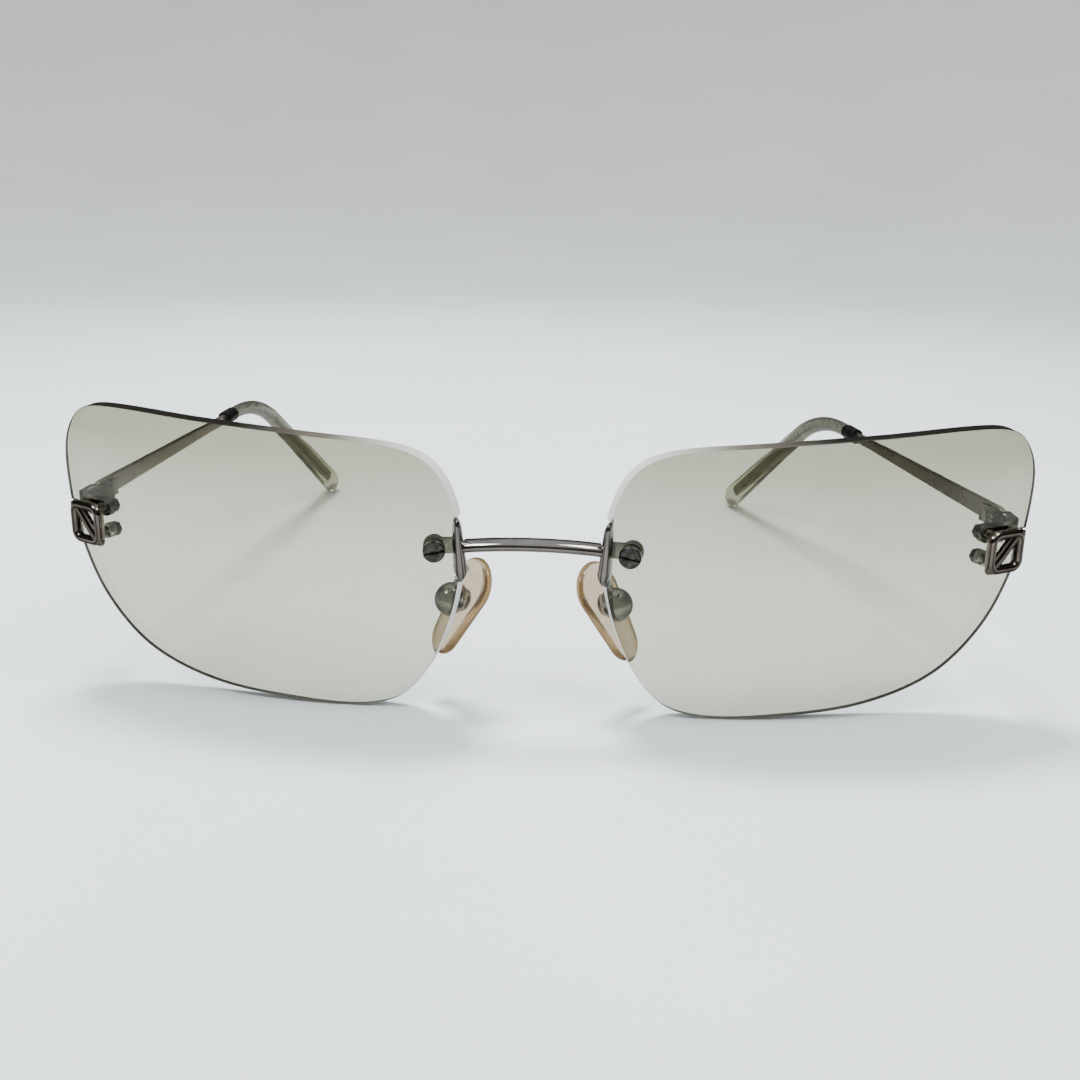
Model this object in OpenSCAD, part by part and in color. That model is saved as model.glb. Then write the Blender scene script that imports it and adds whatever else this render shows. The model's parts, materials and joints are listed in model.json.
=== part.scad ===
// Rimless eyeglasses with drilled lenses, a claw bridge, rocking nose pads and folding temples.
// The front faces -Y, +Z is up and +X is the wearer's left. The pair stands on the lower edges
// of its lenses and on the ends of its temple tips, at Z = 0.

/* [Lenses] */
// Distance from the centre plane to the middle of each lens
lens_x = 41; // [39:0.5:44]
// Height of the middle of each lens
lens_z = 22.08; // [22:0.01:22.2]
// Radius of the front surface
lens_r = 88; // [80:1:120]
// Lens thickness
lens_t = 2.2; // [1.8:0.1:2.4]
// How far each lens turns back at its outer side, in degrees
lens_wrap = 10.5; // [8:0.5:12]
// How far the top of each lens leans forward, in degrees
lens_lean = 2; // [0:0.5:4]

/* [Bridge] */
// Radius of the curve of the bridge bar
bridge_r = 34; // [28:1:60]
// Height of the bridge bar's section
bridge_h = 2.5; // [2:0.1:3]
// Depth of the bridge bar's section
bridge_d = 1.7; // [1.4:0.1:2]
// Height of each claw on the nasal edge of a lens
claw_h = 9.2; // [9:0.1:10]
// Diameter of the bridge screw heads
screw_head_d = 3.2; // [2.8:0.1:3.6]
// Diameter of the bridge screw shanks
screw_d = 1.4; // [1.2:0.1:1.6]

/* [Nose pads] */
// Length of a nose pad
pad_l = 16.2; // [14:0.2:17]
// Width of a nose pad at its wide upper end
pad_w = 8.4; // [7:0.2:9]
// Thickness of a nose pad
pad_t = 2.3; // [2:0.1:2.8]
// Diameter of the domed pad box
box_d = 5; // [4.6:0.1:5.4]
// Lean of the pads' tops towards the nose, in degrees
pad_lean = 27; // [22:1:30]
// Turn of the pads' rear edges away from the nose, in degrees
pad_splay = 35; // [30:1:40]

/* [Temples] */
// Distance from the centre plane to each hinge axis
hinge_x = 68; // [67.8:0.1:68.2]
// Distance of the hinge axes behind the bridge
hinge_y = 20.8; // [20.6:0.1:21]
// Height of the hinge knuckles together
hinge_h = 2.6; // [2.4:0.1:2.8]
// Angle by which an open temple leans in towards the head, in degrees
temple_open = 6; // [5:0.5:9]
// How far the left temple stands folded in from its stop, in degrees
left_fold = 10; // [0:0.5:12]
// Height of the temple bar at its hinge
bar_h = 3; // [2.6:0.1:3.4]
// Height of the temple bar where it enters its ferrule
bar_end_h = 1.6; // [1.4:0.1:2]
// Thickness of the temple bar
bar_t = 0.9; // [0.8:0.05:1]
// Distance from the hinge to the start of the bend, along the bar
bend_start = 53; // [50:0.5:56]
// Radius of the bend behind the ear
bend_r = 33; // [28:1:38]
// Downward slope of the tip behind the bend, in degrees
tip_drop = 33; // [32:0.5:34]
// Width of the temple tip at its far end
tip_end_w = 5.6; // [4.4:0.1:6]

/* [Hidden] */
$fn = 48;
fit_gap = 0.02;
through = 1;

// The whole pair moves forward by this much, so that the origin is under its middle
front_y = -64.8;
lens_y = 2;

// Lens outline, seen from the front: +X towards the temple, +Y up, from the middle of the lens
lens_points = [
    [24.5, 20.7], [8, 20.3], [-10, 19.2], [-20.8, 18], [-25.7, 15.9], [-28.7, 11.6],
    [-30.4, 4], [-29.6, -4.5], [-26.1, -13.8], [-21.2, -20], [-15, -22.1], [-4, -21.7],
    [9, -20.1], [19.5, -16.1], [26.5, -9], [30.6, 0], [32.6, 9], [32.7, 15.2], [30, 19.4]
];

// Places on a lens, as [towards the temple, up] from its middle
claw_at = [-29.6, 3.3];
screw_at = [-26.9, 3.5];
ornament_at = [27.6, 3];

// Ornament: a square buckle with two posts at these places, seen from its own middle
ornament_w = 6.6;
ornament_t = 1.5;
post_x = -1.4;
post_z = [-1.5, 2.2];
post_r = 0.5;
hook_z = [-1.7, 2.1];
hook_w = 1.2;

// Stack behind the lens: washer, ear and nut. The posts' washers stand further off it, because
// the lens curves back round the ornament's middle.
washer_t = 0.28;
ear_t = 0.9;
ear_y = lens_t + fit_gap + washer_t;
nut_y = ear_y + ear_t;
post_seat = 0.12;

// Sleeves that line the holes in the lens
sleeve_r = 0.93;
post_sleeve_r = 0.73;
shank_r = screw_d / 2;

// Claw: straps the lens edge, with a lip over the front face and an ear behind the lens
claw_lip = 0.7;
lip_h = claw_h - 1.8;
notch_gap = 0.2;
notch_w = 3;
claw_ear_l = 4.4;
claw_ear_h = 2.3;

// Bridge bar's middle, seen from the side
bar_y = 1.25;
bar_z = 26.9;

// Pad box centre, where the pad rocks, and the places that the pad arm passes
box_at = [12.1, 6.7, 16.8];
box_r = box_d / 2;
box_rim = 1.3;
pad_back = 2;
pad_pin_r = 0.35;
pad_head_r = 0.58;
disc_r = 1.7;
disc_sunk = 0.4;
pad_top = 6.5;
pad_shift = 0.8;
arm_r = 0.55;

// Hinge
hinge_z = 27.4;
barrel_r = 1.1;
leaf_in = 0.65;
leaf_out = 1.45;
front_leaf = [-3.4, -1.3];
rear_leaf = [1.35, 4.35];
knuckle_root = 0.1;
knuckle_gap = 0.05;
knuckle_h = (hinge_h - 2 * knuckle_gap) / 3;
hinge_pin_r = 0.5;
hinge_pin_gap = 0.04;
press_gap = 0.01;
endpiece_t = 0.9;
endpiece_h = 2.8;

// Temple
bar_rise = 3;
ferrule_l = 4;
ferrule_r = 1.35;
ferrule_from = 47.5;
tip_from = ferrule_from + ferrule_l;
tip_start_w = 2.4;
bend_l = bend_r * (bar_rise + tip_drop) * PI / 180;
bend_mid = [bend_start * cos(bar_rise) + bend_r * sin(bar_rise),
            hinge_z + bend_start * sin(bar_rise) - bend_r * cos(bar_rise)];
bend_end_z = bend_mid[1] + bend_r * cos(tip_drop);
tip_end_t = 3.6;
foot_z = tip_end_w / 2;
tip_to = bend_start + bend_l + (bend_end_z - foot_z) / sin(tip_drop);
core_w = 1.6;
core_short = 4;
core_to = tip_to - core_short;

// ---- shared placing -------------------------------------------------------------------

// Left side as drawn, right side mirrored; $fold turns the temple about its hinge
module left() {
    $fold = temple_open + left_fold;
    translate([0, front_y, 0]) children();
}

module right() {
    $fold = temple_open;
    translate([0, front_y, 0]) mirror([1, 0, 0]) children();
}

module lens_frame() {
    translate([lens_x, lens_y, lens_z]) rotate([lens_lean, 0, lens_wrap]) children();
}

// A place on the lens's front surface, with +Y into the lens and +X towards the temple
module at_lens(place) {
    tilt = asin(place[1] / lens_r);
    turn = asin(place[0] / (lens_r * cos(tilt)));
    lens_frame()
        translate([0, lens_r, 0]) rotate([-tilt, 0, turn]) translate([0, -lens_r, 0]) children();
}

// The rocking axis of a pad along X, with +Z along the pad and +Y towards the nose
module pad_frame() {
    translate(box_at) rotate([0, -pad_lean, 0]) rotate([0, 0, 90 - pad_splay]) children();
}

// The hinge axis, with +Y along the open temple
module temple_frame() {
    translate([hinge_x, hinge_y, 0]) rotate([0, 0, $fold]) children();
}

// A rod along Y between two depths
module rod(r, from, to) {
    translate([0, to, 0]) rotate([90, 0, 0]) cylinder(r = r, h = to - from);
}

// A shape drawn as seen from the front, between two depths
module slab(from, to) {
    translate([0, to, 0]) rotate([90, 0, 0]) linear_extrude(to - from) children();
}

module at_posts() {
    for (z = post_z) translate([post_x, 0, z]) children();
}

// ---- lenses ---------------------------------------------------------------------------

function wrap_at(list, i) = list[(i + len(list)) % len(list)];
function chord(list, i) = norm(wrap_at(list, i + 1) - wrap_at(list, i));
function tangent(list, i) =
    (wrap_at(list, i + 1) - wrap_at(list, i - 1)) / (chord(list, i - 1) + chord(list, i));
function curve_point(list, i, t) =
    (2 * t ^ 3 - 3 * t ^ 2 + 1) * wrap_at(list, i)
    + (t ^ 3 - 2 * t ^ 2 + t) * chord(list, i) * tangent(list, i)
    + (3 * t ^ 2 - 2 * t ^ 3) * wrap_at(list, i + 1)
    + (t ^ 3 - t ^ 2) * chord(list, i) * tangent(list, i + 1);
function smooth_loop(list, steps) =
    [for (i = [0:len(list) - 1]) for (k = [0:steps - 1]) curve_point(list, i, k / steps)];

module lens_blank() {
    intersection() {
        slab(-1, 14) polygon(smooth_loop(lens_points, 5));
        translate([0, lens_r, 0]) difference() {
            sphere(r = lens_r, $fn = 200);
            sphere(r = lens_r - lens_t, $fn = 200);
        }
    }
}

module lens() {
    color([0.72, 0.74, 0.68, 0.45]) difference() {
        lens_frame() lens_blank();
        at_lens(screw_at) rod(sleeve_r + fit_gap, -through, lens_t + through);
        at_lens(claw_at) translate([-notch_w, -through, -claw_h / 2 - notch_gap])
            cube([notch_w, lens_t + 2 * through, claw_h + 2 * notch_gap]);
        at_lens(ornament_at) {
            at_posts() rod(post_sleeve_r + fit_gap, -through, lens_t + through);
            hooks(0.05);
        }
    }
}

// ---- bridge ---------------------------------------------------------------------------

module claw_face() {
    half = claw_h / 2;
    polygon([
        [-0.03, half - 0.5], [-0.3, half], [-0.75, half], [-1.05, half - 0.5],
        [-1.4, 0.8], [-1.85, 1.3 - half], [-1.1, -half], [-0.2, 0.3 - half], [-0.03, 0.8 - half]
    ]);
}

module claw_strap() {
    at_lens(claw_at) slab(-claw_lip, lens_t + claw_lip) claw_face();
}

module bridge_claw() {
    root = 0.1;
    lip_w = 0.5;
    lip_gap = 0.04;
    color([0.62, 0.62, 0.63]) difference() {
        union() {
            claw_strap();
            at_lens(claw_at) translate([-root, -claw_lip, -lip_h / 2])
                cube([root + lip_w, claw_lip - lip_gap, lip_h]);
            at_lens(screw_at) {
                rod(screw_head_d / 2, ear_y, nut_y);
                translate([-claw_ear_l, ear_y, -claw_ear_h / 2])
                    cube([claw_ear_l, ear_t, claw_ear_h]);
            }
        }
        at_lens(screw_at) rod(shank_r + fit_gap, -through, nut_y + through);
    }
}

// The bar's curve bulges forward and a little up; its ends are cut to the claws' straps
module bridge_bar() {
    reach = 9.4;
    bar_tilt = 36;
    span = asin(reach / bridge_r);
    color([0.62, 0.6, 0.58]) difference() {
        translate([0, bar_y, bar_z]) rotate([-bar_tilt, 0, 0]) translate([0, bridge_r, 0])
            rotate([0, 0, -90 - span]) rotate_extrude(angle = 2 * span, $fn = 96)
                translate([bridge_r, 0]) rotate(bar_tilt) intersection() {
                    translate([-bridge_d / 2, -bridge_h / 2]) square([bridge_d, bridge_h]);
                    translate([-bridge_d / 2, 0]) circle(r = bridge_d);
                }
        claw_strap();
        mirror([1, 0, 0]) claw_strap();
    }
}

// Slotted cheese head in front of the lens, shank through to the nut
module bridge_screw() {
    head_r = screw_head_d / 2;
    head_t = 0.95;
    slot_w = 0.54;
    slot_deep = 0.45;
    past_ear = 1.5;
    color([0.25, 0.25, 0.26]) at_lens(screw_at) {
        difference() {
            rod(head_r, -washer_t - head_t, -washer_t);
            translate([-head_r - through, -washer_t - head_t - through, -slot_w / 2])
                cube([screw_head_d + 2 * through, slot_deep + through, slot_w]);
        }
        rod(shank_r, -washer_t, nut_y + past_ear);
    }
}

module screw_sleeve() {
    color([0.85, 0.86, 0.84, 0.6]) at_lens(screw_at) difference() {
        rod(sleeve_r, fit_gap, lens_t);
        rod(shank_r + fit_gap, -through, lens_t + through);
    }
}

module screw_washers() {
    front_r = 1.5;
    back_r = 1.4;
    color([0.7, 0.7, 0.7]) at_lens(screw_at) difference() {
        union() {
            rod(front_r, -washer_t, -fit_gap / 2);
            rod(back_r, lens_t + 2 * fit_gap, ear_y);
        }
        rod(shank_r + fit_gap, -through, ear_y + through);
    }
}

module bridge_nut() {
    nut_r = 1.25;
    barrel = 1.2;
    dome = 1;
    bore = 1.5;
    color([0.45, 0.45, 0.46]) at_lens(screw_at) difference() {
        union() {
            rod(nut_r, nut_y, nut_y + barrel);
            intersection() {
                translate([0, nut_y + barrel, 0]) sphere(r = nut_r);
                rod(nut_r + through, nut_y + barrel, nut_y + barrel + dome);
            }
        }
        rod(shank_r + fit_gap, nut_y - through, nut_y + bore);
    }
}

// ---- nose pads ------------------------------------------------------------------------

// A straight wire between two points
module wire(from, to, r) {
    run = to - from;
    translate(from) rotate([0, acos(run[2] / norm(run)), atan2(run[1], run[0])])
        cylinder(r = r, h = norm(run));
}

// From the foot of the claw straight back to a round elbow, then down to the pad box
module pad_arm() {
    foot = [9.7, 3.9, 22.2];
    elbow = [10.1, 6.3, 22];
    elbow_swell = 0.1;
    color([0.6, 0.6, 0.6]) difference() {
        union() {
            wire(foot, elbow, arm_r);
            translate(elbow) sphere(r = arm_r + elbow_swell);
            wire(elbow, box_at, arm_r);
        }
        claw_strap();
        pad_frame() sphere(r = box_r);
    }
}

// A domed ball with a flat rim, slotted for the lug and cross-drilled for the pad screw
module pad_box() {
    slot_w = 1.3;
    slot_h = 3.4;
    slot_floor = -1.4;
    head_seat = 1.6;
    color([0.66, 0.66, 0.66]) pad_frame() difference() {
        sphere(r = box_r);
        translate([-box_d, box_rim, -box_d]) cube(2 * box_d);
        translate([-slot_w / 2, slot_floor, -slot_h / 2]) cube([slot_w, box_d, slot_h]);
        rotate([0, 90, 0]) cylinder(r = pad_pin_r, h = 2 * box_d, center = true);
        translate([head_seat, 0, 0]) rotate([0, 90, 0])
            cylinder(r = pad_head_r + fit_gap, h = box_d);
    }
}

module pad_screw() {
    tail = 1.9;
    head_from = 1.6;
    head_t = 0.7;
    slot_w = 0.24;
    slot_deep = 0.3;
    slot_l = 2;
    color([0.5, 0.5, 0.5]) pad_frame() rotate([0, 90, 0]) difference() {
        union() {
            translate([0, 0, -tail]) cylinder(r = pad_pin_r, h = tail + head_from + fit_gap);
            translate([0, 0, head_from]) cylinder(r = pad_head_r, h = head_t);
        }
        translate([-slot_l / 2, -slot_w / 2, head_from + head_t - slot_deep])
            cube([slot_l, slot_w, head_t]);
    }
}

// Lug in the box, and a disc moulded into the pad
module pad_stud() {
    lug_w = 1.1;
    lug_h = 1.6;
    lug_end = 0.9;
    pin_gap = 0.04;
    disc_from = pad_back - 0.2;
    color([0.66, 0.66, 0.64]) pad_frame() difference() {
        union() {
            translate([-lug_w / 2, -lug_end, -lug_h / 2])
                cube([lug_w, pad_back + lug_end, lug_h]);
            rod(disc_r, disc_from, pad_back + disc_sunk);
        }
        rotate([0, 90, 0]) cylinder(r = pad_pin_r + pin_gap, h = box_d, center = true);
    }
}

module pad_lobe(z, w) {
    translate([pad_shift, pad_back + pad_t / 2, z]) scale([w / pad_t, 1, w / pad_t])
        sphere(d = pad_t, $fn = 32);
}

module nose_pad() {
    taper = 0.67;
    low_w = pad_w * taper;
    color([0.93, 0.86, 0.72, 0.5]) pad_frame() difference() {
        hull() {
            pad_lobe(pad_top - pad_w / 2, pad_w);
            pad_lobe(pad_top - pad_l + low_w / 2, low_w);
        }
        rod(disc_r + fit_gap, 0, pad_back + disc_sunk + fit_gap);
    }
}

// ---- ornaments ------------------------------------------------------------------------

module rounded_square(w, r) {
    inner = w / 2 - r;
    square([w, w - 2 * r], center = true);
    square([w - 2 * r, w], center = true);
    for (x = [-inner, inner], y = [-inner, inner]) translate([x, y]) circle(r = r);
}

// Two hooks that hold the lens edge, so that the ornament can't turn
module hooks(gap) {
    root = 0.3;
    reach = 1.1;
    front = 0.6;
    back = 1.2;
    for (z = hook_z) translate([ornament_w / 2 - root - gap, -front, z - hook_w / 2 - gap])
        cube([reach + gap, front + back + gap, hook_w + 2 * gap]);
}

module ornament() {
    frame_w = 1.3;
    window = ornament_w - 2 * frame_w;
    corner_r = 1.7;
    window_r = 0.7;
    bar_w = 1.2;
    past_ear = 1.2;
    color([0.35, 0.33, 0.3]) at_lens(ornament_at) {
        slab(-ornament_t - fit_gap, -fit_gap) {
            difference() {
                rounded_square(ornament_w, corner_r);
                rounded_square(window, window_r);
            }
            rotate([0, 0, 45]) square([window * 1.3, bar_w], center = true);
        }
        hooks(0);
        at_posts() rod(post_r, -ornament_t, nut_y + past_ear);
    }
}

module post_sleeves() {
    front_gap = 0.1;
    color([0.85, 0.86, 0.84, 0.6]) at_lens(ornament_at) at_posts() difference() {
        rod(post_sleeve_r, front_gap, lens_t);
        rod(post_r + fit_gap, -through, lens_t + through);
    }
}

// A thin washer behind the lens on each post, and a thicker one where no endpiece lies
module post_washers() {
    washer_r = 1.15;
    color([0.7, 0.7, 0.7]) at_lens(ornament_at) difference() {
        union() {
            at_posts() rod(washer_r, lens_t + post_seat, ear_y);
            translate([post_x, 0, post_z[0]]) rod(washer_r, ear_y, nut_y);
        }
        at_posts() rod(post_r + fit_gap, -through, nut_y + through);
    }
}

module post_nuts() {
    corner_r = 1.15;
    thick = 1.1;
    color([0.4, 0.4, 0.4]) at_lens(ornament_at) at_posts() difference() {
        translate([0, nut_y + thick, 0]) rotate([90, 0, 0])
            cylinder(r = corner_r, h = thick, $fn = 6);
        rod(post_r + fit_gap, nut_y - through, nut_y + thick + through);
    }
}

// ---- endpieces and hinges -------------------------------------------------------------

// Seen from above: the strip leaves the lens along its ear, bends, and runs back to the hinge
module endpiece_plan() {
    out_x = hinge_x + leaf_out + endpiece_t / 2;
    u = ornament_at[0];
    ear_turn = lens_wrap + asin(u / lens_r);
    sag = lens_r - sqrt(lens_r ^ 2 - u ^ 2 - ornament_at[1] ^ 2);
    ear_mid = ear_y + ear_t / 2;
    ear_x = lens_x + u * cos(lens_wrap) - sag * sin(lens_wrap) - ear_mid * sin(ear_turn);
    ear_back = lens_y + u * sin(lens_wrap) + sag * cos(lens_wrap) + ear_mid * cos(ear_turn);
    bend = 1.6;
    sector = 4;
    hinge_clear = 0.25;
    bend_y = ear_back + (out_x - ear_x) * tan(ear_turn) + bend * tan(45 - ear_turn / 2);
    leg_end = hinge_y - hinge_clear;
    translate([out_x - bend, bend_y]) {
        intersection() {
            difference() {
                circle(r = bend + endpiece_t / 2);
                circle(r = bend - endpiece_t / 2);
            }
            polygon(sector * [[0, 0], [1, 0], [1, -1], [sin(ear_turn), -cos(ear_turn)]]);
        }
        rotate(ear_turn) translate([-bend, -bend - endpiece_t / 2]) square([bend, endpiece_t]);
    }
    translate([out_x - endpiece_t / 2, bend_y]) square([endpiece_t, leg_end - bend_y]);
}

module endpiece() {
    ear_l = 5;
    color([0.6, 0.6, 0.6]) difference() {
        union() {
            translate([0, 0, hinge_z - endpiece_h / 2]) linear_extrude(endpiece_h) endpiece_plan();
            at_lens(ornament_at) translate([post_x, 0, post_z[1]]) {
                rod(endpiece_h / 2, ear_y, nut_y);
                translate([0, ear_y, -endpiece_h / 2]) cube([ear_l, ear_t, endpiece_h]);
            }
        }
        at_lens(ornament_at) at_posts() rod(post_r + fit_gap, -through, nut_y + through);
    }
}

// Knuckle number n from below, with an arm that reaches from the axis to the leaf
module knuckle(n, arm_from, arm_to) {
    translate([0, 0, hinge_z - hinge_h / 2 + n * (knuckle_h + knuckle_gap)]) {
        cylinder(r = barrel_r, h = knuckle_h);
        translate([0, arm_from, 0]) cube([leaf_out, arm_to - arm_from, knuckle_h]);
    }
}

// Flat plate of a hinge half, between two distances along it
module leaf(span) {
    translate([leaf_in, span[0], hinge_z - hinge_h / 2])
        cube([leaf_out - leaf_in, span[1] - span[0], hinge_h]);
}

module hinge_front() {
    color([0.6, 0.6, 0.6]) translate([hinge_x, hinge_y, 0]) difference() {
        union() {
            knuckle(0, front_leaf[1] - knuckle_root, 0);
            knuckle(2, front_leaf[1] - knuckle_root, 0);
            leaf(front_leaf);
        }
        cylinder(r = hinge_pin_r + press_gap, h = 2 * hinge_z);
    }
}

module hinge_rear() {
    color([0.6, 0.6, 0.6]) temple_frame() difference() {
        union() {
            knuckle(1, 0, rear_leaf[0] + knuckle_root);
            leaf(rear_leaf);
        }
        cylinder(r = hinge_pin_r + hinge_pin_gap, h = 2 * hinge_z);
    }
}

module hinge_screw() {
    top = hinge_z + hinge_h / 2;
    head_r = 0.85;
    head_t = 0.45;
    slot_w = 0.26;
    slot_deep = 0.25;
    color([0.5, 0.5, 0.5]) translate([hinge_x, hinge_y, 0]) difference() {
        union() {
            translate([0, 0, top - hinge_h]) cylinder(r = hinge_pin_r, h = hinge_h);
            translate([0, 0, top]) cylinder(r = head_r, h = head_t);
        }
        translate([-head_r, -slot_w / 2, top + head_t - slot_deep])
            cube([2 * head_r, slot_w, head_t]);
    }
}

// ---- temples --------------------------------------------------------------------------

// Height and distance of the temple's centre line at a length l from the hinge
function slope(l) = bar_rise - (bar_rise + tip_drop) * min(max((l - bend_start) / bend_l, 0), 1);
function centre(l) =
    l < bend_start
        ? [l * cos(bar_rise), hinge_z + l * sin(bar_rise)]
        : l < bend_start + bend_l
            ? bend_mid + bend_r * [-sin(slope(l)), cos(slope(l))]
            : bend_mid + bend_r * [sin(tip_drop), cos(tip_drop)]
                + (l - bend_start - bend_l) * [cos(tip_drop), -sin(tip_drop)];
function across(l, w) = centre(l) + w * [-sin(slope(l)), cos(slope(l))];
function steps(from, to, n) = [for (i = [0:n]) from + (to - from) * i / n];

// Side outline of a strip along the centre line, with the half height that each length has
module strip_side(along, half) {
    n = len(along) - 1;
    polygon(concat(
        [for (i = [0:n]) across(along[i], half[i])],
        [for (i = [n:-1:0]) across(along[i], -half[i])]
    ));
}

function bend_steps() = steps(bend_start, bend_start + bend_l, 12);

// Draws a side outline, with +X along the temple, as a strip of thickness t
module side_strip(t) {
    middle = leaf_out + bar_t / 2;
    translate([middle - t / 2, 0, 0]) rotate([90, 0, 90]) linear_extrude(t) children();
}

module temple() {
    bar_start = -0.3;
    along = concat([bar_start, ferrule_from, tip_from], bend_steps(), [core_to]);
    half = [for (l = along) l < 0 ? bar_h / 2 : l > ferrule_from ? core_w / 2 : bar_end_h / 2];
    color([0.66, 0.66, 0.67]) temple_frame() side_strip(bar_t) strip_side(along, half);
}

module ferrule() {
    start = centre(ferrule_from);
    past = 1;
    color([0.05, 0.05, 0.05]) temple_frame() difference() {
        translate([leaf_out + bar_t / 2, start[0], start[1]]) rotate([bar_rise, 0, 0])
            rod(ferrule_r, 0, ferrule_l);
        side_strip(bar_t + 2 * fit_gap)
            strip_side([ferrule_from - past, tip_from + past], [1, 1] * (bar_end_h / 2 + fit_gap));
    }
}

// One ring of the tip's skin, an ellipse of width w and thickness t across the centre line
function tip_ring(l, w, t, sides) = [
    for (i = [0:sides - 1])
        let (a = 360 * i / sides, p = across(l, w / 2 * cos(a)))
            [leaf_out + bar_t / 2 + t / 2 * sin(a), p[0], p[1]]
];

// Widens steadily, and closes with a round nose over its last length
function tip_grow(l) = (l - tip_from) / (tip_to - tip_from);
function tip_nose(l) = sqrt(max(1 - ((l - tip_to) / foot_z) ^ 2, 0.0025));
function tip_rings(sides) = [
    for (l = concat(steps(tip_from, tip_to, 22), [for (a = [15:15:90]) tip_to + foot_z * sin(a)]))
        let (
            k = l > tip_to ? tip_nose(l) : 1,
            w = tip_start_w + (tip_end_w - tip_start_w) * min(tip_grow(l), 1),
            t = tip_start_w + (tip_end_t - tip_start_w) * min(tip_grow(l), 1)
        ) tip_ring(l, w * k, t * k, sides)
];

module tube(rings) {
    sides = len(rings[0]);
    last = len(rings) - 1;
    polyhedron(
        points = [for (ring = rings) for (p = ring) p],
        faces = concat(
            [[for (i = [0:sides - 1]) i]],
            [for (r = [0:last - 1]) for (i = [0:sides - 1])
                let (a = r * sides + i, b = r * sides + (i + 1) % sides)
                    [a, a + sides, b + sides, b]],
            [[for (i = [sides - 1:-1:0]) last * sides + i]]
        )
    );
}

module temple_tip() {
    end_gap = 0.1;
    socket = concat([tip_from - through], bend_steps(), [core_to + end_gap]);
    color([0.75, 0.74, 0.62, 0.5]) temple_frame() difference() {
        tube(tip_rings(18));
        side_strip(bar_t + 2 * fit_gap)
            strip_side(socket, [for (l = socket) core_w / 2 + fit_gap]);
    }
}

// ---- nodes ----------------------------------------------------------------------------

left() lens();  // lens_left
right() lens();  // lens_right
left() bridge_bar();
left() bridge_claw();  // bridge_claw_left
right() bridge_claw();  // bridge_claw_right
left() bridge_screw();  // bridge_screw_left
right() bridge_screw();  // bridge_screw_right
left() screw_sleeve();  // screw_sleeve_left
right() screw_sleeve();  // screw_sleeve_right
left() screw_washers();  // screw_washers_left
right() screw_washers();  // screw_washers_right
left() bridge_nut();  // bridge_nut_left
right() bridge_nut();  // bridge_nut_right
left() pad_arm();  // pad_arm_left
right() pad_arm();  // pad_arm_right
left() pad_box();  // pad_box_left
right() pad_box();  // pad_box_right
left() pad_screw();  // pad_screw_left
right() pad_screw();  // pad_screw_right
left() pad_stud();  // pad_stud_left
right() pad_stud();  // pad_stud_right
left() nose_pad();  // nose_pad_left
right() nose_pad();  // nose_pad_right
left() ornament();  // ornament_left
right() ornament();  // ornament_right
left() post_sleeves();  // post_sleeves_left
right() post_sleeves();  // post_sleeves_right
left() post_washers();  // post_washers_left
right() post_washers();  // post_washers_right
left() post_nuts();  // post_nuts_left
right() post_nuts();  // post_nuts_right
left() endpiece();  // endpiece_left
right() endpiece();  // endpiece_right
left() hinge_front();  // hinge_front_left
right() hinge_front();  // hinge_front_right
left() hinge_rear();  // hinge_rear_left
right() hinge_rear();  // hinge_rear_right
left() hinge_screw();  // hinge_screw_left
right() hinge_screw();  // hinge_screw_right
left() temple();  // temple_left
right() temple();  // temple_right
left() ferrule();  // ferrule_left
right() ferrule();  // ferrule_right
left() temple_tip();  // temple_tip_left
right() temple_tip();  // temple_tip_right
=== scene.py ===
import json
import math

import bmesh
import bpy
from mathutils import Matrix, Vector


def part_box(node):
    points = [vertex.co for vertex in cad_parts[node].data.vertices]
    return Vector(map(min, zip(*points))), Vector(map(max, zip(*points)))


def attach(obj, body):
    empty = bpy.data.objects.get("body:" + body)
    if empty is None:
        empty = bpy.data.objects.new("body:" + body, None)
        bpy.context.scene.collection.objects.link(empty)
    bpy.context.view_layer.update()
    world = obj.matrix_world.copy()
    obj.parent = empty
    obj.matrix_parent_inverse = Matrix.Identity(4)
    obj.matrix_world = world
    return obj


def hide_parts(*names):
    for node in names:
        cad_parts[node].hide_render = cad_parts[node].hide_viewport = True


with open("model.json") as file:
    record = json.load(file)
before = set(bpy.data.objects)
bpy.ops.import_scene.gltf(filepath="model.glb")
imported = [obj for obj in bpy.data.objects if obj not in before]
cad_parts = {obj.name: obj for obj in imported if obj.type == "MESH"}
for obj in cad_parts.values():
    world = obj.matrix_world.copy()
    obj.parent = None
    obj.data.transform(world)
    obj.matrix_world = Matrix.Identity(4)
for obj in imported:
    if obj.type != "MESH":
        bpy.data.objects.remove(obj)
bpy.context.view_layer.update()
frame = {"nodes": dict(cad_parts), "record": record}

# Shapes are worked out in millimetres in the CAD frame, and become metres in piece().
MM = 0.001
SIDES = ("left", "right")
JOINTS = {joint["name"]: joint for joint in frame["record"]["behaviour"]["joints"]}


# ---- driving dimensions, the same as the part's source has them ------------------------

LENS_X, LENS_Y, LENS_Z = 41, 2, 22.08
LENS_R, LENS_T = 88, 2.2
LENS_WRAP, LENS_LEAN = 10.5, 2
LENS_POINTS = [
    (24.5, 20.7), (8, 20.3), (-10, 19.2), (-20.8, 18), (-25.7, 15.9), (-28.7, 11.6),
    (-30.4, 4), (-29.6, -4.5), (-26.1, -13.8), (-21.2, -20), (-15, -22.1), (-4, -21.7),
    (9, -20.1), (19.5, -16.1), (26.5, -9), (30.6, 0), (32.6, 9), (32.7, 15.2), (30, 19.4),
]
CLAW_AT, CLAW_H, CLAW_LIP = (-29.6, 3.3), 9.2, 0.7
SCREW_AT, SCREW_R, SCREW_HEAD_R = (-26.9, 3.5), 0.7, 1.6
WASHER_T, EAR_T = 0.28, 0.9
EAR_Y = LENS_T + 0.02 + WASHER_T
NUT_Y = EAR_Y + EAR_T
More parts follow.
